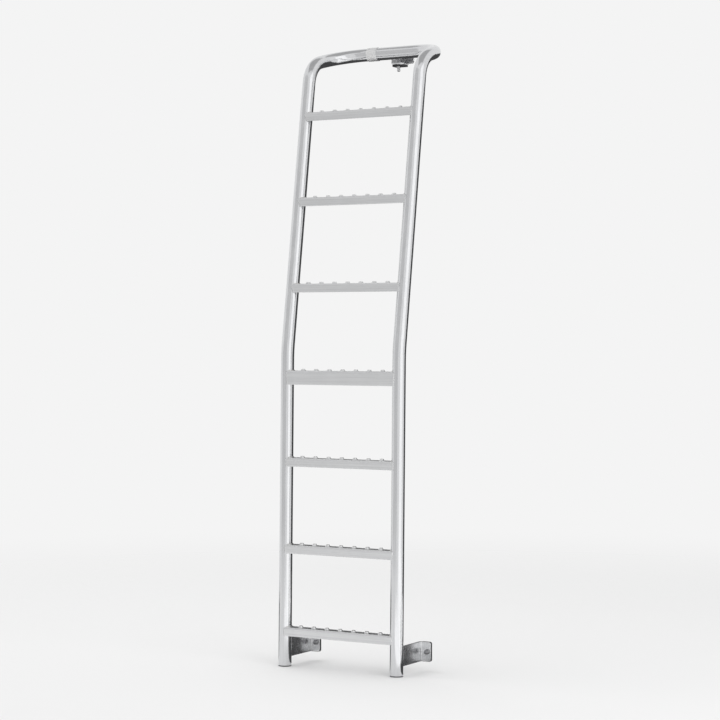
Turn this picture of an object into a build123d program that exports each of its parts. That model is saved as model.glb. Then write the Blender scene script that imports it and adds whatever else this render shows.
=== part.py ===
from build123d import *
import os
from math import radians, tan

# Hanging ladder: two bent tube rails that meet in a loop at the top, folded treads
# between them, and plate brackets that fix the ladder above and below.
# Millimetres, +Z up, +Y forward as a climber faces, +X to the climber's right.
# The origin is on the top pad's underside, where the ladder hangs, midway between
# the stud's hole and the lip of the bracket above.

# Rails of round stainless tube
TUBE_OD = 30.0
TUBE_WALL = 2.0
RAIL_SPACING = 295.0         # between the two tube axes
LOWER_LEAN = 1.0             # degrees forward
UPPER_LEAN = 8.5             # degrees forward
KNEE_RADIUS = 250.0          # bend between the two leans
KNEE_ABOVE_TREAD = 44.0      # above the top of the middle tread
LOOP_REACH = 127.0           # from the rails forward to the cross tube
LOOP_RISE = 33.0             # from the rails up to the cross tube
RISE_RADIUS = 65.0           # bend from the rail to the loop
CORNER_RADIUS = 85.0         # bend from the loop's side to the cross tube
JOINT_X = -49.0              # where the left and the right rail meet
FOOT_BELOW_TREAD = 91.0      # lower end, under the top of the lowest tread

# Sleeve over the rails' upper ends
SLEEVE_LENGTH = 26.0
SLEEVE_WALL = 1.0
SLEEVE_FIT = 0.2             # between sleeve and tube, on the radius

# Plastic plugs in the rails' lower ends
PLUG_RIM = 2.0
PLUG_DEPTH = 14.0
PLUG_WALL = 2.0
PLUG_FIT = 0.2               # between plug and tube, on the radius

# Treads folded from sheet, with a row of pressed studs
TREAD_COUNT = 7
TOP_TREAD_DROP = 147.0       # from the cross tube's axis to the top of the first tread
TREAD_PITCH = 200.0
LAST_PITCH = 190.0           # to the lowest tread
SHEET = 2.0
FOLD_RADIUS = 2.5            # at the middle of the sheet
FRONT_FLANGE = 20.0
DEEP_FLANGE = 32.0           # of the middle tread
BACK_FLANGE = 16.0
TREAD_SETBACK = 0.5          # front and back faces inside the tube's
TREAD_END = 4.5              # ends short of the tubes' axes
STUD_COUNT = 7
STUD_PITCH = 35.0
STUD_HEIGHT = 4.0
STUD_BASE_RADIUS = 6.0
STUD_TOP_RADIUS = 4.0

# Brackets bent from plate
PLATE = 4.0
PLATE_BEND = 4.0             # at the middle of the plate
PLATE_CORNER = 5.0           # rounding of free corners
SADDLE = 1.0                 # depth to which a plate is dished over a tube
WELD_GAP = 0.2
PAD = 3.0                    # rubber on each lower bracket

# Lower brackets, both of the same hand
BRACKET_REACH = 103.0        # from the rail's axis to the flange's front
BRACKET_SIDE = 8.0           # from the rail's axis to the web's outer face
BRACKET_HEIGHT = 45.0
BRACKET_ABOVE_FOOT = 21.0
DOOR_FLANGE = 25.0           # flange beyond the web
DOOR_HOLE = 6.6
HOLE_INSET = 10.0            # from the flange's free edge

# Top bracket, a strap bent to a C in front of the loop, with a narrower tongue as its foot
TOP_PAD = 4.0                # rubber under the tongue
HOOK_WIDTH = 60.0
HOOK_HEIGHT = 26.0
HOOK_REACH = 51.0            # from the cross tube's axis to the lip
TONGUE_WIDTH = 30.0
STUD_TO_LIP = 18.0
STUD_BOLT_HOLE = 9.0

# Places that follow from the sizes above
TUBE_R = TUBE_OD / 2
HALF_SPACING = RAIL_SPACING / 2
LIP_Y = STUD_TO_LIP / 2
STUD_BOLT_Y = LIP_Y - STUD_TO_LIP
CROSS_Y = LIP_Y - HOOK_REACH
CROSS_Z = TOP_PAD + HOOK_HEIGHT - PLATE / 2
LOOP_Y = CROSS_Y - LOOP_REACH
LOOP_Z = CROSS_Z - LOOP_RISE
MIDDLE_TREAD = (TREAD_COUNT + 1) // 2
TREAD_DEPTH = TUBE_OD - 2 * TREAD_SETBACK
FIRST_TREAD_Z = CROSS_Z - TOP_TREAD_DROP
LAST_TREAD_Z = FIRST_TREAD_Z - (TREAD_COUNT - 2) * TREAD_PITCH - LAST_PITCH
KNEE_Z = FIRST_TREAD_Z - (MIDDLE_TREAD - 1) * TREAD_PITCH + KNEE_ABOVE_TREAD
KNEE_Y = LOOP_Y - (LOOP_Z - KNEE_Z) * tan(radians(UPPER_LEAN))
FOOT_Z = LAST_TREAD_Z - FOOT_BELOW_TREAD
SIDES = {"left": -1, "right": 1}
ON_BASE = (Align.CENTER, Align.CENTER, Align.MIN)


def axis_y(height):
    """Forward position of a rail's axis at a height below the loop."""
    lean, y, z = (UPPER_LEAN, LOOP_Y, LOOP_Z) if height > KNEE_Z else (LOWER_LEAN, KNEE_Y, KNEE_Z)
    return y + (height - z) * tan(radians(lean))


def axis_plane(x, height):
    """Plane square to a rail at a height, with its normal up the rail."""
    step = 1.0
    run = Vector(0, axis_y(height) - axis_y(height - step), step)
    return Plane(origin=(x, axis_y(height), height), z_dir=run)


def tube_room(plane):
    """The space that a straight length of tube takes past a piece, with room for the weld."""
    return plane * Cylinder(TUBE_R + WELD_GAP, 2 * max(HOOK_WIDTH, BRACKET_HEIGHT, DEEP_FLANGE))


def rail(side):
    """One tube from its foot over the knee and the two loop bends to the joint in the cross tube."""
    x = side * HALF_SPACING
    start = axis_plane(x, FOOT_Z) * Pos(0, 0, PLUG_RIM)
    path = FilletPolyline(
        start.position,
        (x, KNEE_Y, KNEE_Z),
        (x, LOOP_Y, LOOP_Z),
        (x, CROSS_Y, CROSS_Z),
        (JOINT_X, CROSS_Y, CROSS_Z),
        radius=[KNEE_RADIUS, RISE_RADIUS, CORNER_RADIUS],
    )
    ring = Circle(TUBE_R) - Circle(TUBE_R - TUBE_WALL)
    return sweep(Plane(origin=path @ 0, z_dir=path % 0) * ring, path=path)


def joint_sleeve():
    """Ring over both rails' ends, halfway on each."""
    bore = TUBE_R + SLEEVE_FIT
    ring = extrude(Circle(bore + SLEEVE_WALL) - Circle(bore), SLEEVE_LENGTH / 2, both=True)
    return Plane(origin=(JOINT_X, CROSS_Y, CROSS_Z), z_dir=(1, 0, 0)) * ring


def plug(side):
    """Cup that closes a rail's lower end, with a rim as wide as the tube."""
    rim = Cylinder(TUBE_R, PLUG_RIM, align=ON_BASE)
    spigot_radius = TUBE_R - TUBE_WALL - PLUG_FIT
    spigot = Cylinder(spigot_radius, PLUG_DEPTH, align=ON_BASE)
    spigot -= Cylinder(spigot_radius - PLUG_WALL, PLUG_DEPTH, align=ON_BASE)
    return axis_plane(side * HALF_SPACING, FOOT_Z) * (rim + Pos(0, 0, PLUG_RIM) * spigot)


def tread_top(number):
    """Height of a tread's top, counted from 1 at the top of the ladder."""
    if number == TREAD_COUNT:
        return LAST_TREAD_Z
    return FIRST_TREAD_Z - (number - 1) * TREAD_PITCH


def stud():
    """Stud pressed up from the sheet, hollow below; its foot is the top of the tread."""
    outside = Cone(STUD_BASE_RADIUS, STUD_TOP_RADIUS, STUD_HEIGHT, align=ON_BASE)
    inside = Cone(STUD_BASE_RADIUS - SHEET, STUD_TOP_RADIUS - SHEET, STUD_HEIGHT, align=ON_BASE)
    return outside, Pos(0, 0, -SHEET) * inside


def tread(number):
    """Level channel between the rails, its ends coped to the tubes."""
    top = tread_top(number)
    flange = DEEP_FLANGE if number == MIDDLE_TREAD else FRONT_FLANGE
    front = axis_y(top - FRONT_FLANGE / 2) - TREAD_DEPTH / 2
    half = SHEET / 2
    fold = FilletPolyline(
        (half, -flange),
        (half, -half),
        (TREAD_DEPTH - half, -half),
        (TREAD_DEPTH - half, -BACK_FLANGE),
        radius=FOLD_RADIUS,
    )
    body = extrude(Plane.YZ * trace(fold, SHEET), HALF_SPACING - TREAD_END, both=True)
    for place in GridLocations(STUD_PITCH, 0, STUD_COUNT, 1):
        outside, inside = stud()
        body += Pos(0, TREAD_DEPTH / 2, 0) * place * outside
        body -= Pos(0, TREAD_DEPTH / 2, 0) * place * inside
    body = Pos(0, front, top) * body
    for side in SIDES.values():
        body -= tube_room(axis_plane(side * HALF_SPACING, top - flange / 2))
    return body


def door_flange(side):
    """Edges of a lower bracket's fixing flange: from, to, front and middle height."""
    middle = FOOT_Z + BRACKET_ABOVE_FOOT + BRACKET_HEIGHT / 2
    web = side * HALF_SPACING + BRACKET_SIDE
    return web - PLATE / 2 + PLATE_BEND, web + DOOR_FLANGE, axis_y(middle) + BRACKET_REACH, middle


def door_hole(side):
    """Room for the screw through a lower bracket and its pad."""
    left, right, front, middle = door_flange(side)
    drill = Rot(90, 0, 0) * Cylinder(DOOR_HOLE / 2, 2 * (PLATE + PAD))
    return Pos(right - HOLE_INSET, front, middle) * drill


def door_bracket(side):
    """Plate bent to an L: forward from the rail, then to the right as the fixing flange."""
    left, right, front, middle = door_flange(side)
    bends = FilletPolyline(
        (left - PLATE_BEND, axis_y(middle)),
        (left - PLATE_BEND, front - PLATE / 2),
        (right, front - PLATE / 2),
        radius=PLATE_BEND,
    )
    plate = Pos(0, 0, middle) * extrude(trace(bends, PLATE), BRACKET_HEIGHT / 2, both=True)
    free_corners = plate.edges().filter_by(Axis.Y).group_by(Axis.X)[-1]
    plate = fillet(free_corners, PLATE_CORNER)
    return plate - tube_room(axis_plane(side * HALF_SPACING, middle)) - door_hole(side)


def door_pad(side):
    """Rubber on the front of a lower bracket's flange."""
    left, right, front, middle = door_flange(side)
    on_flange = (Align.MIN, Align.MIN, Align.CENTER)
    pad = Pos(left, front, middle) * Box(right - left, PAD, BRACKET_HEIGHT, align=on_flange)
    ends = pad.edges().filter_by(Axis.Y).group_by(Axis.X)
    return fillet(ends[-1], PLATE_CORNER) - door_hole(side)


def stud_bolt_hole():
    """Room for the stud that comes up through the top pad and bracket."""
    return Pos(0, STUD_BOLT_Y, 0) * Cylinder(STUD_BOLT_HOLE / 2, TOP_PAD + PLATE, align=ON_BASE)


def top_bracket():
    """Strap from the cross tube forward and down its lip, with the tongue bent back from the lip."""
    lip = LIP_Y + PLATE / 2
    upper = FilletPolyline(
        (CROSS_Y + TUBE_R - SADDLE, CROSS_Z),
        (lip, CROSS_Z),
        (lip, TOP_PAD + PLATE),
        radius=PLATE_BEND,
    )
    lower = FilletPolyline(
        (lip, CROSS_Z / 2),
        (lip, TOP_PAD + PLATE / 2),
        (STUD_BOLT_Y, TOP_PAD + PLATE / 2),
        radius=PLATE_BEND,
    )
    strap = extrude(Plane.YZ * trace(upper, PLATE), HOOK_WIDTH / 2, both=True)
    lip_corners = strap.edges().filter_by(Axis.Y).group_by(Axis.Z)[0]
    strap = fillet(lip_corners, PLATE_CORNER)
    strap += extrude(Plane.YZ * trace(lower, PLATE), TONGUE_WIDTH / 2, both=True)
    strap += Pos(0, STUD_BOLT_Y, TOP_PAD) * Cylinder(TONGUE_WIDTH / 2, PLATE, align=ON_BASE)
    cross_tube = Plane(origin=(0, CROSS_Y, CROSS_Z), z_dir=(1, 0, 0))
    return strap - tube_room(cross_tube) - stud_bolt_hole()


def top_pad():
    """Rubber under the top bracket's tongue."""
    pad = Box(TONGUE_WIDTH, STUD_TO_LIP, TOP_PAD, align=ON_BASE)
    pad += Pos(0, STUD_BOLT_Y, 0) * Cylinder(TONGUE_WIDTH / 2, TOP_PAD, align=ON_BASE)
    return pad - stud_bolt_hole()


pieces = {"joint_sleeve": joint_sleeve(), "top_bracket": top_bracket(), "top_pad": top_pad()}
for name, hand in SIDES.items():
    pieces[f"{name}_rail"] = rail(hand)
    pieces[f"{name}_plug"] = plug(hand)
    pieces[f"{name}_door_bracket"] = door_bracket(hand)
    pieces[f"{name}_door_pad"] = door_pad(hand)
for number in range(1, TREAD_COUNT + 1):
    pieces[f"tread_{number}"] = tread(number)

os.makedirs("parts", exist_ok=True)
for name, piece in pieces.items():
    export_step(piece, f"parts/{name}.step")
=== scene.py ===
from math import cos, pi, radians, sin, sqrt, tan

import bmesh
import bpy
from mathutils import Matrix, Vector


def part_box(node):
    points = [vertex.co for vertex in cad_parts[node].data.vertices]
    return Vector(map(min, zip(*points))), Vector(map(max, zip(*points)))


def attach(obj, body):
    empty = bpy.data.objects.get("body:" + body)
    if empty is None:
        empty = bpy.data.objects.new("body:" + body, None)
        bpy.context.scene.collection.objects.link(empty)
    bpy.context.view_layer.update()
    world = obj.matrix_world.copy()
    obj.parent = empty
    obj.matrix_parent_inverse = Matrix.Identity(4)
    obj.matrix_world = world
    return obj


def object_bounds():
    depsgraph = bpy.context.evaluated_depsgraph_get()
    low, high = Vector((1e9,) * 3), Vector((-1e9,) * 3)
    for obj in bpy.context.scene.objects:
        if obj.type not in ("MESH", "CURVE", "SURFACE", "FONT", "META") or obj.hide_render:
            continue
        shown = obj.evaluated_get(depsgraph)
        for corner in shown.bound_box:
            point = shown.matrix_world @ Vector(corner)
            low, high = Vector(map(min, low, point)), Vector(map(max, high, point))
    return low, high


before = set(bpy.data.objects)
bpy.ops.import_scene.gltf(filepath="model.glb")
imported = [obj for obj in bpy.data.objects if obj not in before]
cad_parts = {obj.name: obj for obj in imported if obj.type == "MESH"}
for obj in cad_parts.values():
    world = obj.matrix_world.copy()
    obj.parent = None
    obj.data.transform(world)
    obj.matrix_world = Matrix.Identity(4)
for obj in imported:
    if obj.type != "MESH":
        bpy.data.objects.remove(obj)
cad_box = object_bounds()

# Rails: two lengths of round stainless tube, bent at the knee and into the loop at the top,
# then polished along their length on a belt. Hands and wiping leave a faint film on them.
LOOP_BOTTOM = -0.06
LOOP_CORNER_X = 0.1
LINE_TURN = 0.02
UPRIGHT_LINES = (1100, 1100, 5)
SIDE_LINES = (1100, 12, 900)
CROSS_LINES = (12, 1100, 1100)
COARSE_LINES = 0.22
LINE_CONTRAST = (0.7, 1.3)
FILM_EDGE = (0.42, 0.72)
RAIL_FILM = 9.0
POLISHED = (0.74, 0.745, 0.755, 1)
POLISHED_DULL = (0.64, 0.645, 0.66, 1)
POLISHED_ROUGH = (0.12, 0.2)
POLISH_BUMP = 0.12
POLISH_DEPTH = 0.00004


def add_node(tree, kind, inputs, **settings):
    """A shader node; inputs maps a socket's name or number to a value or to another node's output."""
    made = tree.nodes.new(kind)
    for key, value in settings.items():
        setattr(made, key, value)
    for key, value in inputs.items():
        if isinstance(value, bpy.types.NodeSocket):
            tree.links.new(value, made.inputs[key])
        else:
            made.inputs[key].default_value = value
    return made


def on_piece(tree):
    """Object coordinates, which stay with the piece."""
    return add_node(tree, "ShaderNodeTexCoord", {}).outputs["Object"]


def add_noise(tree, place, **values):
    """Noise over a place, with the node's Scale, Detail and so on by name."""
    return add_node(tree, "ShaderNodeTexNoise", {"Vector": place, **values}).outputs["Fac"]


def smooth_mask(tree, value, clear, full):
    """Mask that goes smoothly from 0 where a value is at clear to 1 where it is at full."""
    limits = {"Value": value, "From Min": clear, "From Max": full}
    mask = add_node(tree, "ShaderNodeMapRange", limits, interpolation_type="SMOOTHSTEP")
    return mask.outputs["Result"]


def spread(tree, mask, limits):
    """Number that runs between two limits as a mask goes from 0 to 1."""
    low, high = limits
    made = add_node(tree, "ShaderNodeMapRange", {"Value": mask, "To Min": low, "To Max": high})
    return made.outputs["Result"]


def mix_numbers(tree, mask, off, on):
    """Two numbers mixed by a mask."""
    return add_node(tree, "ShaderNodeMix", {"Factor": mask, 2: off, 3: on}).outputs[0]


def mix_colours(tree, mask, off, on):
    """Two colours mixed by a mask."""
    mixed = add_node(tree, "ShaderNodeMix", {"Factor": mask, 6: off, 7: on}, data_type="RGBA")
    return mixed.outputs[2]


def new_group(name, inputs, outputs):
    """A shader node group with named sockets, and its input and output nodes."""
    group = bpy.data.node_groups.new(name, "ShaderNodeTree")
    for way, sockets in (("INPUT", inputs), ("OUTPUT", outputs)):
        for socket, kind in sockets.items():
            group.interface.new_socket(socket, in_out=way, socket_type=kind)
    return group, group.nodes.new("NodeGroupInput"), group.nodes.new("NodeGroupOutput")


def place_group(tree, group, **values):
    """Places one of the shared groups in a material with its own values."""
    return add_node(tree, "ShaderNodeGroup", values, node_tree=group)


def polish_lines():
    """Fine parallel lines left by a belt or brush; Stretch packs them across the surface's run."""
    group, given, result = new_group(
        "polish_lines", {"Stretch": "NodeSocketVector"}, {"Shade": "NodeSocketFloat"}
    )
    packed = {0: on_piece(group), 1: given.outputs["Stretch"]}
    run = add_node(group, "ShaderNodeVectorMath", packed, operation="MULTIPLY").outputs[0]
    fine = add_noise(group, run, Scale=1.0, Detail=3.0)
    coarse = add_noise(group, run, Scale=COARSE_LINES, Detail=2.0)
    both = add_node(group, "ShaderNodeMath", {0: fine, 1: coarse}, operation="ADD").outputs[0]
    low, high = LINE_CONTRAST
    shade = add_node(group, "ShaderNodeMapRange", {"Value": both, "From Min": low, "From Max": high})
    group.links.new(shade.outputs["Result"], result.inputs["Shade"])
    return group


def hand_marks():
    """Cloudy film from hands and wiping, as a mask that is 1 where the film is thickest."""
    group, given, result = new_group(
        "hand_marks", {"Scale": "NodeSocketFloat"}, {"Mask": "NodeSocketFloat"}
    )
    clouds = add_noise(group, on_piece(group), Scale=given.outputs["Scale"], Detail=6.0, Roughness=0.62)
    group.links.new(smooth_mask(group, clouds, *FILM_EDGE), result.inputs["Mask"])
    return group


POLISH_LINES = polish_lines()
HAND_MARKS = hand_marks()


def new_material(name):
    """A material with its node tree and its Principled shader."""
    material = bpy.data.materials.new(name)
    material.use_nodes = True
    return material, material.node_tree, material.node_tree.nodes["Principled BSDF"]


def new_metal(name):
    """A material of bare metal."""
    material, tree, shader = new_material(name)
    shader.inputs["Metallic"].default_value = 1.0
    return material, tree, shader


def set_surface(tree, shader, colour, rough):
    """Gives a shader the colour and the roughness that change over the surface."""
    tree.links.new(colour, shader.inputs["Base Color"])
    tree.links.new(rough, shader.inputs["Roughness"])


def add_relief(tree, shader, **values):
    """Fine relief on a surface, with the node's Height, Strength, Distance and Normal by name."""
    bump = add_node(tree, "ShaderNodeBump", values)
    tree.links.new(bump.outputs["Normal"], shader.inputs["Normal"])


def polished_tube():
    """Polished stainless tube whose lines follow the rails, the loop's sides and the cross tube."""
    material, tree, shader = new_metal("rail_steel")
    spot = add_node(tree, "ShaderNodeSeparateXYZ", {0: on_piece(tree)})
    upright = place_group(tree, POLISH_LINES, Stretch=UPRIGHT_LINES)
    along_side = place_group(tree, POLISH_LINES, Stretch=SIDE_LINES)
    along_cross = place_group(tree, POLISH_LINES, Stretch=CROSS_LINES)
    off_middle = add_node(tree, "ShaderNodeMath", {0: spot.outputs["X"]}, operation="ABSOLUTE").outputs[0]
    at_side = smooth_mask(tree, off_middle, LOOP_CORNER_X - LINE_TURN, LOOP_CORNER_X + LINE_TURN)
    in_loop = smooth_mask(tree, spot.outputs["Z"], LOOP_BOTTOM, LOOP_BOTTOM + 2 * LINE_TURN)
    loop_lines = mix_numbers(tree, at_side, along_cross.outputs["Shade"], along_side.outputs["Shade"])
    lines = mix_numbers(tree, in_loop, upright.outputs["Shade"], loop_lines)
    colour = mix_colours(tree, lines, POLISHED_DULL, POLISHED)
    film = place_group(tree, HAND_MARKS, Scale=RAIL_FILM)
    set_surface(tree, shader, colour, spread(tree, film.outputs["Mask"], POLISHED_ROUGH))
    add_relief(tree, shader, Height=lines, Strength=POLISH_BUMP, Distance=POLISH_DEPTH)
    return material


def dress(node, material):
    """Gives a CAD node's slots a material."""
    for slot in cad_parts[node].material_slots:
        slot.material = material


RAIL_STEEL = polished_tube()
for node in ("left_rail", "right_rail"):
    dress(node, RAIL_STEEL)

# Sleeve: a short ring of thin stainless tube, pushed over the rails' upper ends where they meet
# in the cross tube, glued there and left bead-blasted, so that it is matt beside the polish.
BLASTED = (0.92, 0.92, 0.92, 1)
BLASTED_GREY = (0.80, 0.80, 0.805, 1)
BLASTED_ROUGH = (0.56, 0.46)
BLAST_GRAIN = 3200.0
BLAST_BUMP = 0.3
BLAST_DEPTH = 0.00008
SLEEVE_FILM = 40.0
RIM_WIDTH = 0.0008
RIM_ROUGH = 0.3
EDGE_TURN = (0.995, 0.9)


def edge_wear_and_highlight():
    """Mask of the edges, used for wear and for a painted highlight where they are lightened, and the
    normal of an edge broken with a file.
    """
    group, given, result = new_group(
        "edge_wear_and_highlight",
        {"Width": "NodeSocketFloat"},
        {"Mask": "NodeSocketFloat", "Normal": "NodeSocketVector"},
    )
    rounded = add_node(group, "ShaderNodeBevel", {"Radius": given.outputs["Width"]}, samples=6).outputs[0]
    flat = add_node(group, "ShaderNodeNewGeometry", {}).outputs["Normal"]
    turn = add_node(group, "ShaderNodeVectorMath", {0: rounded, 1: flat}, operation="DOT_PRODUCT")
    group.links.new(smooth_mask(group, turn.outputs["Value"], *EDGE_TURN), result.inputs["Mask"])
    group.links.new(rounded, result.inputs["Normal"])
    return group


EDGE_WEAR_AND_HIGHLIGHT = edge_wear_and_highlight()


def blasted_ring():
    """Matt blasted stainless with a fine grain and a rim smoothed by wear."""
    material, tree, shader = new_metal("sleeve_steel")
    grain = add_noise(tree, on_piece(tree), Scale=BLAST_GRAIN, Detail=3.0)
    edges = place_group(tree, EDGE_WEAR_AND_HIGHLIGHT, Width=RIM_WIDTH)
    film = place_group(tree, HAND_MARKS, Scale=SLEEVE_FILM)
    colour = mix_colours(tree, grain, BLASTED_GREY, BLASTED)
    matt = spread(tree, film.outputs["Mask"], BLASTED_ROUGH)
    set_surface(tree, shader, colour, mix_numbers(tree, edges.outputs["Mask"], matt, RIM_ROUGH))
    broken = edges.outputs["Normal"]
    add_relief(tree, shader, Height=grain, Strength=BLAST_BUMP, Distance=BLAST_DEPTH, Normal=broken)
    return material


dress("joint_sleeve", blasted_ring())

# Treads: channels folded from stainless sheet, with a row of studs pressed up through the top,
# brushed along their length and welded between the rails. Boots keep the studs bright.
# The studs and the edges are painted a lighter tone, partly as that wear and partly as a painted
# highlight.
TREAD_NODES = [f"tread_{number}" for number in range(1, 8)]
STUD_HEIGHT = 0.004
RUBBED_ABOVE = 0.0012
TREAD_LINES = (7, 1200, 1200)
TREAD_FILM = 22.0
TREAD_EDGE = 0.0012
BRUSHED = (0.80, 0.805, 0.81, 1)
BRUSHED_DARK = (0.66, 0.665, 0.675, 1)
BRUSHED_ROUGH = (0.32, 0.44)
BRUSH_BUMP = 0.25
BRUSH_DEPTH = 0.00006
# Lighter tone of the studs and edges: partly wear, partly a painted highlight.
WEAR_AND_HIGHLIGHT_TONE = (0.81, 0.81, 0.81, 1)
WORN_ROUGH = 0.24


def brushed_sheet(name, top):
    """Brushed stainless sheet of one tread, lighter on the studs above its top and on its edges: partly
    wear from boots, partly a painted highlight.
    """
    material, tree, shader = new_metal(name)
    spot = add_node(tree, "ShaderNodeSeparateXYZ", {0: on_piece(tree)})
    lines = place_group(tree, POLISH_LINES, Stretch=TREAD_LINES).outputs["Shade"]
    film = place_group(tree, HAND_MARKS, Scale=TREAD_FILM)
    edges = place_group(tree, EDGE_WEAR_AND_HIGHLIGHT, Width=TREAD_EDGE)
    on_stud = smooth_mask(tree, spot.outputs["Z"], top + RUBBED_ABOVE, top + STUD_HEIGHT)
    # Mask of the studs and the edges: wear, and a painted highlight.
    wear_and_highlight_inputs = {0: on_stud, 1: edges.outputs["Mask"]}
    wear_and_highlight_mask = add_node(tree, "ShaderNodeMath", wear_and_highlight_inputs, operation="MAXIMUM").outputs[0]
    brushed = mix_colours(tree, lines, BRUSHED_DARK, BRUSHED)
    colour = mix_colours(tree, wear_and_highlight_mask, brushed, WEAR_AND_HIGHLIGHT_TONE)
    satin = spread(tree, film.outputs["Mask"], BRUSHED_ROUGH)
    set_surface(tree, shader, colour, mix_numbers(tree, wear_and_highlight_mask, satin, WORN_ROUGH))
    broken = edges.outputs["Normal"]
    add_relief(tree, shader, Height=lines, Strength=BRUSH_BUMP, Distance=BRUSH_DEPTH, Normal=broken)
    return material


for node in TREAD_NODES:
    stud_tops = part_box(node)[1][2]
    dress(node, brushed_sheet(f"{node}_steel", stud_tops - STUD_HEIGHT))

# Tread welds: stainless run in by hand where each tread's end meets its tube, one bead round the
# tube on top and a shorter one down the back, with the ripples that the filler leaves.
TUBE_RADIUS = 0.015
RAIL_X = 0.1475
KNEE_Z = -0.675
LEAN_ABOVE_KNEE = radians(8.5)
LEAN_BELOW_KNEE = radians(1.0)
TREAD_AXIS_DROP = 0.010
WELD_RADIUS = 0.0016
WELD_RISE = 0.0004
WELD_ARC = radians(48)
WELD_END_SIZES = (0.3, 0.65, 0.85)
RIPPLE_LENGTH = 0.0014
RIPPLE_SIZES = (1.04, 1.0, 0.94)
BEAD_SIDES = 10
BEAD_CREASE = radians(80)
SEAM_RADIUS = 0.0015
SEAM_DROPS = (0.0025, 0.0142)
SEAM_GAP = 0.0002
SEAM_ON_TUBE = 0.0003
SEAM_BURIED = 0.0004
QUARTER_TURN = Matrix.Rotation(radians(-90), 4, "X")
WELD_METAL = (0.70, 0.695, 0.685, 1)
WELD_STRAW = (0.58, 0.555, 0.51, 1)
WELD_ROUGH = (0.22, 0.42)
WELD_MOTTLE = 260.0
WELD_BUMP = 0.3
WELD_DEPTH = 0.0001
STRAW_EDGE = (0.45, 0.7)


def finish_mesh(bm, name, material):
    """Turns a bmesh into an object at the origin, with its material."""
    mesh = bpy.data.meshes.new(name)
    bm.to_mesh(mesh)
    bm.free()
    mesh.materials.append(material)
    made = bpy.data.objects.new(name, mesh)
    bpy.context.scene.collection.objects.link(made)
    return made


def soften(bm, sharp):
    """Turns faces outward and shades them smooth between the edges that are sharp."""
    bmesh.ops.recalc_face_normals(bm, faces=bm.faces)
    for face in bm.faces:
        face.smooth = True
    for edge in bm.edges:
        edge.smooth = len(edge.link_faces) == 2 and edge.calc_face_angle() < sharp


def bead_steps(ripples):
    """Steps from a bead's first ring to its last."""
    return ripples * len(RIPPLE_SIZES) + 2 * len(WELD_END_SIZES) - 1


def run_bead(bm, start, step, ripples, radius):
    """Rippled bead: a ring at the start's place, carried along by the same step for each ring."""
    sizes = WELD_END_SIZES + RIPPLE_SIZES * ripples + WELD_END_SIZES[::-1]
    place = start @ Matrix.Scale(sizes[0], 4)
    first = bmesh.ops.create_circle(bm, cap_ends=True, segments=BEAD_SIDES, radius=radius, matrix=place)
    edges = list({edge for corner in first["verts"] for edge in corner.link_edges})
    for size in sizes[1:]:
        before = place
        start = step @ start
        place = start @ Matrix.Scale(size, 4)
        grown = bmesh.ops.extrude_edge_only(bm, edges=edges)["geom"]
        ring = [item for item in grown if isinstance(item, bmesh.types.BMVert)]
        edges = [item for item in grown if isinstance(item, bmesh.types.BMEdge)]
        bmesh.ops.transform(bm, verts=ring, matrix=place @ before.inverted())
    bmesh.ops.edgeloop_fill(bm, edges=edges)


def straight_weld(bm, start, run, radius):
    """Bead along a straight run."""
    ripples = round(run.length / RIPPLE_LENGTH)
    turned = run.to_track_quat("Z", "Y").to_matrix().to_4x4()
    step = Matrix.Translation(run / bead_steps(ripples))
    run_bead(bm, Matrix.Translation(start) @ turned, step, ripples, radius)


def weld_steel():
    """Bright weld metal with patches of straw tint from the heat."""
    material, tree, shader = new_metal("weld_steel")
    mottle = add_noise(tree, on_piece(tree), Scale=WELD_MOTTLE, Detail=4.0)
    colour = mix_colours(tree, smooth_mask(tree, mottle, *STRAW_EDGE), WELD_METAL, WELD_STRAW)
    set_surface(tree, shader, colour, spread(tree, mottle, WELD_ROUGH))
    add_relief(tree, shader, Height=mottle, Strength=WELD_BUMP, Distance=WELD_DEPTH)
    return material


WELD_STEEL = weld_steel()


def tread_welds(node):
    """Both ends' beads of one tread."""
    low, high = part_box(node)
    top = high[2] - STUD_HEIGHT
    lean = LEAN_ABOVE_KNEE if top > KNEE_Z else LEAN_BELOW_KNEE
    axis_y = (low[1] + high[1]) / 2 + TREAD_AXIS_DROP * tan(lean)
    reach = TUBE_RADIUS + WELD_RISE
    ripples = round(2 * WELD_ARC * reach / RIPPLE_LENGTH)
    turn = Matrix.Rotation(2 * WELD_ARC / bead_steps(ripples), 4, "Z")
    seam_ends = []
    for drop in SEAM_DROPS:
        away = (high[1] - axis_y + drop * tan(lean)) * cos(lean)
        flange_end = sqrt((TUBE_RADIUS + SEAM_GAP) ** 2 - away**2)
        seam_ends.append((flange_end - SEAM_ON_TUBE, drop))
    bm = bmesh.new()
    for side in (-1, 1):
        inward = pi if side > 0 else 0.0
        axis = Matrix.Translation((side * RAIL_X, axis_y, top + WELD_RISE))
        facing = axis @ Matrix.Rotation(inward - WELD_ARC, 4, "Z")
        start = facing @ Matrix.Translation((reach, 0, 0)) @ QUARTER_TURN
        run_bead(bm, start, axis @ turn @ axis.inverted(), ripples, WELD_RADIUS)
        upper, lower = [
            Vector((side * (RAIL_X - inset), high[1] - SEAM_BURIED, top - drop))
            for inset, drop in seam_ends
        ]
        straight_weld(bm, upper, lower - upper, SEAM_RADIUS)
    soften(bm, BEAD_CREASE)
    welds = finish_mesh(bm, f"{node}_welds", WELD_STEEL)
    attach(welds, "root")


for node in TREAD_NODES:
    tread_welds(node)

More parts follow.
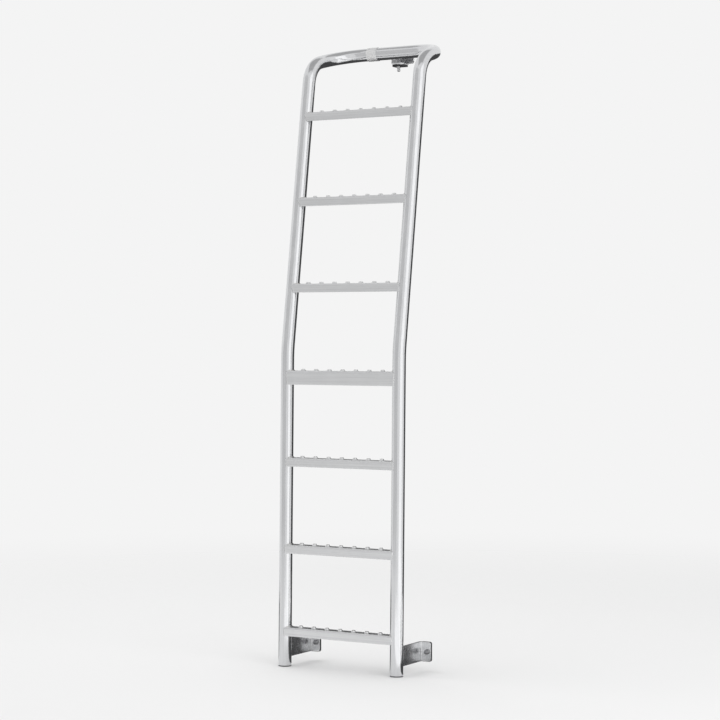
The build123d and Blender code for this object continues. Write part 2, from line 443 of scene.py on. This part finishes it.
# Brackets: bent from 4 mm stainless plate with sheared edges, welded to the tubes and left satin.
# The upper one is the hook that the ladder hangs by, the lower ones are screwed on.
LOWER_BRACKETS = ("left_door_bracket", "right_door_bracket")
HOOK_LINES = (14, 900, 900)
LOWER_LINES = (14, 14, 900)
PLATE_FILM = 30.0
PLATE_EDGE = 0.0014
PLATE_SATIN = (0.74, 0.745, 0.755, 1)
PLATE_DARK = (0.62, 0.625, 0.635, 1)
PLATE_ROUGH = (0.24, 0.38)
PLATE_BUMP = 0.2
PLATE_DEPTH = 0.00005


def satin_plate(name, stretch):
    """Satin plate with rolled grain along its run, and sheared edges painted lighter, partly as wear and
    partly as a painted highlight.
    """
    material, tree, shader = new_metal(name)
    lines = place_group(tree, POLISH_LINES, Stretch=stretch).outputs["Shade"]
    film = place_group(tree, HAND_MARKS, Scale=PLATE_FILM)
    edges = place_group(tree, EDGE_WEAR_AND_HIGHLIGHT, Width=PLATE_EDGE)
    rolled = mix_colours(tree, lines, PLATE_DARK, PLATE_SATIN)
    # The edges get the lighter tone: partly wear, partly a painted highlight.
    colour = mix_colours(tree, edges.outputs["Mask"], rolled, WEAR_AND_HIGHLIGHT_TONE)
    set_surface(tree, shader, colour, spread(tree, film.outputs["Mask"], PLATE_ROUGH))
    broken = edges.outputs["Normal"]
    add_relief(tree, shader, Height=lines, Strength=PLATE_BUMP, Distance=PLATE_DEPTH, Normal=broken)
    return material


dress("top_bracket", satin_plate("hook_steel", HOOK_LINES))
for node in LOWER_BRACKETS:
    dress(node, satin_plate(f"{node}_steel", LOWER_LINES))

# Bracket welds: a bead on each side of a plate, up the rail at the lower brackets and along the
# cross tube at the hook, run in by hand as on the treads.
PLATE = 0.004
PLATE_WELD_RADIUS = 0.0019
WEB_FACES = (0.004, 0.008)
WEB_WELD_INSET = 0.002
HOOK_WELD_INSET = 0.002
CROSS_TUBE_Y = -0.042
CROSS_TUBE_Z = 0.028


def bracket_welds(name, runs):
    """One piece with all the beads of a bracket, each from its start along its run."""
    bm = bmesh.new()
    for start, run in runs:
        straight_weld(bm, start, run, PLATE_WELD_RADIUS)
    soften(bm, BEAD_CREASE)
    welds = finish_mesh(bm, name, WELD_STEEL)
    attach(welds, "root")


for node in LOWER_BRACKETS:
    low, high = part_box(node)
    rail_x = -RAIL_X if node.startswith("left") else RAIL_X
    foot_y = low[1] - sqrt(TUBE_RADIUS**2 - max(WEB_FACES) ** 2)
    height = high[2] - low[2] - 2 * WEB_WELD_INSET
    runs = []
    for face in WEB_FACES:
        touch = sqrt(TUBE_RADIUS**2 - face**2)
        start = Vector((rail_x + face, foot_y + touch, low[2] + WEB_WELD_INSET))
        runs.append((start, Vector((0, height * tan(LEAN_BELOW_KNEE), height))))
    bracket_welds(f"{node}_welds", runs)

low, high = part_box("top_bracket")
along = Vector((high[0] - low[0] - 2 * HOOK_WELD_INSET, 0, 0))
touch = sqrt(TUBE_RADIUS**2 - (PLATE / 2) ** 2)
runs = []
for face in (-PLATE / 2, PLATE / 2):
    start = Vector((low[0] + HOOK_WELD_INSET, CROSS_TUBE_Y + touch, CROSS_TUBE_Z + face))
    runs.append((start, along))
bracket_welds("top_bracket_welds", runs)

# Pads: black rubber cut from sheet, between each bracket and what it is fixed to.
# They are glued to the plate and keep a matt, slightly dusty face.
RUBBER = (0.022, 0.022, 0.024, 1)
RUBBER_GREY = (0.045, 0.045, 0.047, 1)
RUBBER_ROUGH = (0.75, 0.95)
RUBBER_GRAIN = 1400.0
RUBBER_DEPTH = 0.0002
SCUFFS = 60.0
PIT_BUMP = 0.4


def black_stuff(name, dark, grey, rough, grain, depth):
    """Matt black rubber or plastic with a fine grain and greyish scuffs."""
    material, tree, shader = new_material(name)
    scuffs = place_group(tree, HAND_MARKS, Scale=SCUFFS)
    pits = add_noise(tree, on_piece(tree), Scale=grain, Detail=4.0)
    colour = mix_colours(tree, scuffs.outputs["Mask"], dark, grey)
    set_surface(tree, shader, colour, spread(tree, pits, rough))
    add_relief(tree, shader, Height=pits, Strength=PIT_BUMP, Distance=depth)
    return material


PAD_RUBBER = black_stuff("pad_rubber", RUBBER, RUBBER_GREY, RUBBER_ROUGH, RUBBER_GRAIN, RUBBER_DEPTH)
for node in ("top_pad", "left_door_pad", "right_door_pad"):
    dress(node, PAD_RUBBER)

# Fasteners: an M8 stud with its nut and washer through the hook's tongue, and an M6 hex screw
# with a washer through each lower flange, all of zinc-plated steel, turned, rolled and plated.
STUD_RADIUS = 0.004
STUD_PITCH = 0.00125
STUD_BELOW = 0.016
STUD_ABOVE_NUT = 0.003
NUT_FLATS = 0.013
NUT_HEIGHT = 0.0065
NUT_FACE = 0.96
NUT_SINK = 0.12
NUT_WASHER_RADIUS = 0.008
SCREW_RADIUS = 0.003
SCREW_PITCH = 0.001
SCREW_BEYOND_PAD = 0.012
HEAD_FLATS = 0.010
HEAD_HEIGHT = 0.004
HEAD_FACE = 0.95
HEAD_WASHER_RADIUS = 0.006
HEX_CHAMFER = radians(30)
WASHER = 0.0016
WASHER_CHAMFER = WASHER / 5
HOLE_INSET = 0.010
PAD = 0.003
THREAD_DEPTH = 0.6
THREAD_WIDTH = 0.96
THREAD_STEPS = 20
TURN_STEPS = 48
BLANK_OVER_CORNERS = 1.01
CLOSE_POINTS = 1e-6
FASTENER_CREASE = radians(35)
ZINC = (0.40, 0.40, 0.41, 1)
ZINC_DULL = (0.27, 0.27, 0.285, 1)
ZINC_ROUGH = (0.24, 0.44)
ZINC_MOTTLE = 420.0
ZINC_EDGE = 0.0006


def zinc_plate():
    """Zinc plating, dull grey with a fine mottle, and corners painted in the tone of brushed steel,
    partly as plating wearing through and partly as a painted highlight.
    """
    material, tree, shader = new_metal("fastener_zinc")
    mottle = add_noise(tree, on_piece(tree), Scale=ZINC_MOTTLE, Detail=5.0)
    edges = place_group(tree, EDGE_WEAR_AND_HIGHLIGHT, Width=ZINC_EDGE)
    plated = mix_colours(tree, mottle, ZINC_DULL, ZINC)
    # The corners' bright tone is partly wear of the plating, partly a painted highlight.
    colour = mix_colours(tree, edges.outputs["Mask"], plated, BRUSHED)
    set_surface(tree, shader, colour, spread(tree, mottle, ZINC_ROUGH))
    tree.links.new(edges.outputs["Normal"], shader.inputs["Normal"])
    return material


FASTENER_ZINC = zinc_plate()


def turn_outline(bm, outline, closed):
    """Solid of revolution about Z from (radius, height) points, closed in itself or at the axis."""
    points = [bm.verts.new((radius, 0, height)) for radius, height in outline]
    pairs = list(zip(points, points[1:]))
    if closed:
        pairs.append((points[-1], points[0]))
    edges = [bm.edges.new(pair) for pair in pairs]
    bmesh.ops.spin(
        bm,
        geom=points + edges,
        cent=(0, 0, 0),
        axis=(0, 0, 1),
        angle=2 * pi,
        steps=TURN_STEPS,
        use_merge=True,
    )
    bmesh.ops.remove_doubles(bm, verts=bm.verts, dist=CLOSE_POINTS)


def cut_flats(bm, flats):
    """Cuts a turned blank to a hexagon, which leaves the arcs of its chamfer on the flats."""
    for number in range(6):
        out = Matrix.Rotation(number * pi / 3, 3, "Z") @ Vector((1, 0, 0))
        everything = bm.verts[:] + bm.edges[:] + bm.faces[:]
        cut = bmesh.ops.bisect_plane(
            bm, geom=everything, plane_co=out * flats / 2, plane_no=out, clear_outer=True
        )
        rim = [item for item in cut["geom_cut"] if isinstance(item, bmesh.types.BMEdge)]
        bmesh.ops.edgeloop_fill(bm, edges=rim)
    bmesh.ops.dissolve_degenerate(bm, dist=CLOSE_POINTS, edges=bm.edges)


def wind_thread(bm, radius, pitch, low, high):
    """Ridge of a rolled thread, wound up the core between two heights."""
    turns = int((high - low) / pitch) - 1
    root = radius - THREAD_DEPTH * pitch
    width = pitch * THREAD_WIDTH
    ridge = [
        bm.verts.new((root, 0, low)),
        bm.verts.new((radius, 0, low + width / 2)),
        bm.verts.new((root, 0, low + width)),
    ]
    face = bm.faces.new(ridge)
    bmesh.ops.spin(
        bm,
        geom=ridge + list(face.edges) + [face],
        cent=(0, 0, 0),
        axis=(0, 0, 1),
        dvec=(0, 0, pitch / THREAD_STEPS),
        angle=2 * pi * turns,
        steps=THREAD_STEPS * turns,
    )
    bmesh.ops.holes_fill(bm, edges=[edge for edge in bm.edges if edge.is_boundary])


def fit_fastener(bm, name, place):
    """Finishes a fastener made about Z and puts it in its place."""
    soften(bm, FASTENER_CREASE)
    bmesh.ops.transform(bm, verts=bm.verts, matrix=place)
    made = finish_mesh(bm, name, FASTENER_ZINC)
    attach(made, "root")


def washer(name, place, bore, radius):
    """Flat washer with its punched edges chamfered."""
    bm = bmesh.new()
    outline = [
        (bore, WASHER_CHAMFER),
        (bore + WASHER_CHAMFER, 0),
        (radius - WASHER_CHAMFER, 0),
        (radius, WASHER_CHAMFER),
        (radius, WASHER - WASHER_CHAMFER),
        (radius - WASHER_CHAMFER, WASHER),
        (bore + WASHER_CHAMFER, WASHER),
        (bore, WASHER - WASHER_CHAMFER),
    ]
    turn_outline(bm, outline, closed=True)
    fit_fastener(bm, name, place)


def nut(name, place):
    """Hex nut, chamfered on both faces and countersunk at its bore."""
    corner = NUT_FLATS / sqrt(3) * BLANK_OVER_CORNERS
    flat = NUT_FLATS / 2 * NUT_FACE
    slope = (corner - flat) * tan(HEX_CHAMFER)
    sink = STUD_RADIUS * NUT_SINK
    bm = bmesh.new()
    outline = [
        (STUD_RADIUS, sink),
        (STUD_RADIUS + sink, 0),
        (flat, 0),
        (corner, slope),
        (corner, NUT_HEIGHT - slope),
        (flat, NUT_HEIGHT),
        (STUD_RADIUS + sink, NUT_HEIGHT),
        (STUD_RADIUS, NUT_HEIGHT - sink),
    ]
    turn_outline(bm, outline, closed=True)
    cut_flats(bm, NUT_FLATS)
    fit_fastener(bm, name, place)


def threaded_rod(bm, radius, pitch, low, high):
    """Core with chamfered ends and the thread round it."""
    core = radius - THREAD_DEPTH * pitch / 2
    outline = [
        (0, low),
        (core - pitch, low),
        (core, low + pitch),
        (core, high - pitch),
        (core - pitch, high),
        (0, high),
    ]
    turn_outline(bm, outline, closed=False)
    wind_thread(bm, radius, pitch, low + pitch / 2, high - pitch / 2)


def hex_screw(name, place, length):
    """Hex head with its chamfer and washer face, and a threaded shank below it."""
    corner = HEAD_FLATS / sqrt(3) * BLANK_OVER_CORNERS
    flat = HEAD_FLATS / 2 * HEAD_FACE
    slope = (corner - flat) * tan(HEX_CHAMFER)
    bm = bmesh.new()
    outline = [
        (0, 0),
        (flat, 0),
        (flat, slope),
        (corner, slope),
        (corner, HEAD_HEIGHT - slope),
        (flat, HEAD_HEIGHT),
        (0, HEAD_HEIGHT),
    ]
    turn_outline(bm, outline, closed=False)
    cut_flats(bm, HEAD_FLATS)
    shank = bmesh.new()
    threaded_rod(shank, SCREW_RADIUS, SCREW_PITCH, -length, HEAD_HEIGHT / 2)
    joined = bpy.data.meshes.new("shank")
    shank.to_mesh(joined)
    shank.free()
    bm.from_mesh(joined)
    bpy.data.meshes.remove(joined)
    fit_fastener(bm, name, place)


# The pad's front end is half a circle about the stud
pad_low, pad_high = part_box("top_pad")
stud_y = pad_low[1] + (pad_high[0] - pad_low[0]) / 2
seat = Matrix.Translation((0, stud_y, pad_high[2] + PLATE))
washer("top_washer", seat, STUD_RADIUS, NUT_WASHER_RADIUS)
nut("top_nut", seat @ Matrix.Translation((0, 0, WASHER)))
rod = bmesh.new()
threaded_rod(rod, STUD_RADIUS, STUD_PITCH, -PLATE - STUD_BELOW, WASHER + NUT_HEIGHT + STUD_ABOVE_NUT)
fit_fastener(rod, "top_stud", seat)

for node in LOWER_BRACKETS:
    low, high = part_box(node)
    side = node.split("_")[0]
    hole = Vector((high[0] - HOLE_INSET, high[1] - PLATE, (low[2] + high[2]) / 2))
    seat = Matrix.Translation(hole) @ Matrix.Rotation(radians(90), 4, "X")
    washer(f"{side}_screw_washer", seat, SCREW_RADIUS, HEAD_WASHER_RADIUS)
    head = seat @ Matrix.Translation((0, 0, WASHER))
    hex_screw(f"{side}_screw", head, WASHER + PLATE + PAD + SCREW_BEYOND_PAD)

# Plugs: black cups moulded in polyethylene, pushed into the open lower ends of the rails,
# where the rim scuffs grey on whatever the ladder is set down on.
MOULDED = (0.028, 0.028, 0.03, 1)
MOULDED_GREY = (0.05, 0.05, 0.052, 1)
MOULDED_ROUGH = (0.4, 0.58)
MOULDED_GRAIN = 2600.0
MOULDED_DEPTH = 0.0001
PLUG_PLASTIC = black_stuff(
    "plug_plastic", MOULDED, MOULDED_GREY, MOULDED_ROUGH, MOULDED_GRAIN, MOULDED_DEPTH
)
for node in ("left_plug", "right_plug"):
    dress(node, PLUG_PLASTIC)

# Stage: a pale floor under the feet that fades into a white backdrop, large soft lamps, and cards
# that only the metal mirrors: white and grey beside the camera, grey above, dark ones behind.
LADDER_MIDDLE = Vector((0, -0.2, -0.68))
CAMERA_BEARING = 27.643
FLOOR_Z = cad_box[0][2]
FLOOR_SIZE = 9.0
FLOOR_SIDES = 96
FLOOR_SOLID = 0.6
FLOOR_CLEAR = 3.2
FLOOR_WHITE = (0.86, 0.86, 0.86, 1)
FLOOR_ROUGH = 0.9
BACKDROP = (0.905, 0.905, 0.905, 1)
SOFT_LIGHT = (0.8, 0.8, 0.8, 1)
CARD_WHITE = (1.3, 1.3, 1.3, 1)
CARD_GREY = (0.68, 0.68, 0.68, 1)
CARD_ABOVE = (0.5, 0.5, 0.5, 1)
CARD_DARK = (0.07, 0.07, 0.072, 1)
MAT_LIFT = 0.001
CEILING_LIFT = 3.6
WHITE_SIDE = 42
WHITE_AWAY = 3.2
DARK_SIDE = 150
DARK_AWAY = 1.1
DARK_WIDTH = 2.8


def floor_paint():
    """Pale matt floor, clear towards its rim, so that it has no edge, and clear from below."""
    material, tree, shader = new_material("floor_paint")
    flat = add_node(
        tree, "ShaderNodeVectorMath", {0: on_piece(tree), 1: (1, 1, 0)}, operation="MULTIPLY"
    )
    away = add_node(tree, "ShaderNodeVectorMath", {0: flat.outputs[0]}, operation="LENGTH")
    near = smooth_mask(tree, away.outputs["Value"], FLOOR_CLEAR, FLOOR_SOLID)
    facing = add_node(tree, "ShaderNodeNewGeometry", {})
    solid = add_node(
        tree,
        "ShaderNodeMath",
        {0: near, 1: facing.outputs["Backfacing"]},
        operation="SUBTRACT",
        use_clamp=True,
    )
    tree.links.new(solid.outputs[0], shader.inputs["Alpha"])
    shader.inputs["Base Color"].default_value = FLOOR_WHITE
    shader.inputs["Roughness"].default_value = FLOOR_ROUGH
    shader.inputs["Specular IOR Level"].default_value = 0.0
    return material


ground = bmesh.new()
bmesh.ops.create_circle(ground, cap_ends=True, segments=FLOOR_SIDES, radius=FLOOR_SIZE / 2)
bmesh.ops.translate(ground, verts=ground.verts, vec=(0, 0, FLOOR_Z))
finish_mesh(ground, "floor", floor_paint())


def bearing(angle):
    """Level direction from the ladder, in degrees to the right of the camera."""
    turn = radians(CAMERA_BEARING + angle)
    return Vector((sin(turn), -cos(turn), 0))


def new_card(width, length):
    """Level card of a width and a length, with its middle at the origin."""
    card = bmesh.new()
    bmesh.ops.create_grid(card, x_segments=1, y_segments=1, size=0.5)
    bmesh.ops.scale(card, verts=card.verts, vec=(width, length, 1))
    return card


def show_in_metal(card, name, colour, place):
    """Puts a card in its place, with an even tone that nothing but metal shows."""
    bmesh.ops.transform(card, verts=card.verts, matrix=place)
    material = bpy.data.materials.new(name)
    material.use_nodes = True
    tree = material.node_tree
    tree.nodes.clear()
    glow = add_node(tree, "ShaderNodeEmission", {"Color": colour})
    add_node(tree, "ShaderNodeOutputMaterial", {"Surface": glow.outputs[0]})
    made = finish_mesh(card, name, material)
    made.visible_camera = False
    made.visible_diffuse = False
    made.visible_shadow = False


def upright_card(name, colour, angle, away, width, height):
    """Card that stands on the floor, facing the ladder."""
    out = bearing(angle)
    middle = Vector((LADDER_MIDDLE.x, LADDER_MIDDLE.y, FLOOR_Z + height / 2)) + out * away
    stand = out.to_track_quat("Z", "Y").to_matrix().to_4x4()
    show_in_metal(new_card(width, height), name, colour, Matrix.Translation(middle) @ stand)


def level_card(name, colour, angle, near, far, width, lift):
    """Card that lies level above the floor, between two distances from the ladder's middle."""
    out = bearing(angle) * (near + far) / 2
    middle = Vector((LADDER_MIDDLE.x, LADDER_MIDDLE.y, FLOOR_Z + lift)) + out
    lie = Matrix.Rotation(radians(CAMERA_BEARING + angle), 4, "Z")
    show_in_metal(new_card(width, far - near), name, colour, Matrix.Translation(middle) @ lie)


upright_card("white_card", CARD_WHITE, angle=WHITE_SIDE, away=WHITE_AWAY, width=2.6, height=4.0)
level_card("white_mat", CARD_WHITE, angle=WHITE_SIDE, near=0.35, far=WHITE_AWAY, width=2.4, lift=MAT_LIFT)
upright_card("grey_card", CARD_GREY, angle=-52, away=3.0, width=4.2, height=4.0)
upright_card("dark_card", CARD_DARK, angle=DARK_SIDE, away=DARK_AWAY, width=DARK_WIDTH, height=1.5)
level_card(
    "dark_mat", CARD_DARK, angle=DARK_SIDE, near=-0.05, far=DARK_AWAY, width=DARK_WIDTH, lift=MAT_LIFT
)
level_card("grey_ceiling", CARD_ABOVE, angle=0, near=-1.4, far=1.4, width=2.8, lift=CEILING_LIFT)


def soft_lamp(name, angle, away, rise, width, length, power):
    """Area lamp beside the ladder, turned to its middle."""
    lamp = bpy.data.lights.new(name, "AREA")
    lamp.shape = "RECTANGLE"
    lamp.size = width
    lamp.size_y = length
    lamp.energy = power
    made = bpy.data.objects.new(name, lamp)
    made.location = LADDER_MIDDLE + bearing(angle) * away + Vector((0, 0, rise))
    made.rotation_euler = (LADDER_MIDDLE - made.location).to_track_quat("-Z", "Y").to_euler()
    made.visible_camera = False
    made.visible_glossy = False
    bpy.context.scene.collection.objects.link(made)


soft_lamp("key_lamp", angle=WHITE_SIDE, away=WHITE_AWAY, rise=0.6, width=2.6, length=3.4, power=36)
soft_lamp("top_lamp", angle=-120, away=1.2, rise=2.6, width=2.4, length=2.4, power=26)

world = bpy.data.worlds.new("backdrop")
bpy.context.scene.world = world
world.use_nodes = True
sky = world.node_tree
rays = add_node(sky, "ShaderNodeLightPath", {})
seen = add_node(
    sky,
    "ShaderNodeMath",
    {0: rays.outputs["Is Camera Ray"], 1: rays.outputs["Is Glossy Ray"]},
    operation="ADD",
)
shown = add_node(
    sky,
    "ShaderNodeMath",
    {0: seen.outputs[0], 1: rays.outputs["Is Transmission Ray"]},
    operation="ADD",
    use_clamp=True,
)
tone = mix_colours(sky, shown.outputs[0], SOFT_LIGHT, BACKDROP)
sky.links.new(tone, sky.nodes["Background"].inputs["Color"])

# Camera: stands where the photograph was taken from, to the right of the ladder and level with
# its middle, and closes in on it with a longer lens.
CAMERA_PLACE = (2.4197, -4.3285, -0.6235)
CAMERA_TURN = 30.32
CAMERA_DIP = 0.85
LENS = 104.0
SENSOR = 36.0
camera = bpy.data.objects.new("camera", bpy.data.cameras.new("camera"))
camera.location = CAMERA_PLACE
camera.rotation_euler = (radians(90 - CAMERA_DIP), 0, radians(CAMERA_TURN))
camera.data.lens = LENS
camera.data.sensor_width = SENSOR
bpy.context.scene.collection.objects.link(camera)
bpy.context.scene.camera = camera
bpy.context.scene.view_settings.view_transform = "Standard"
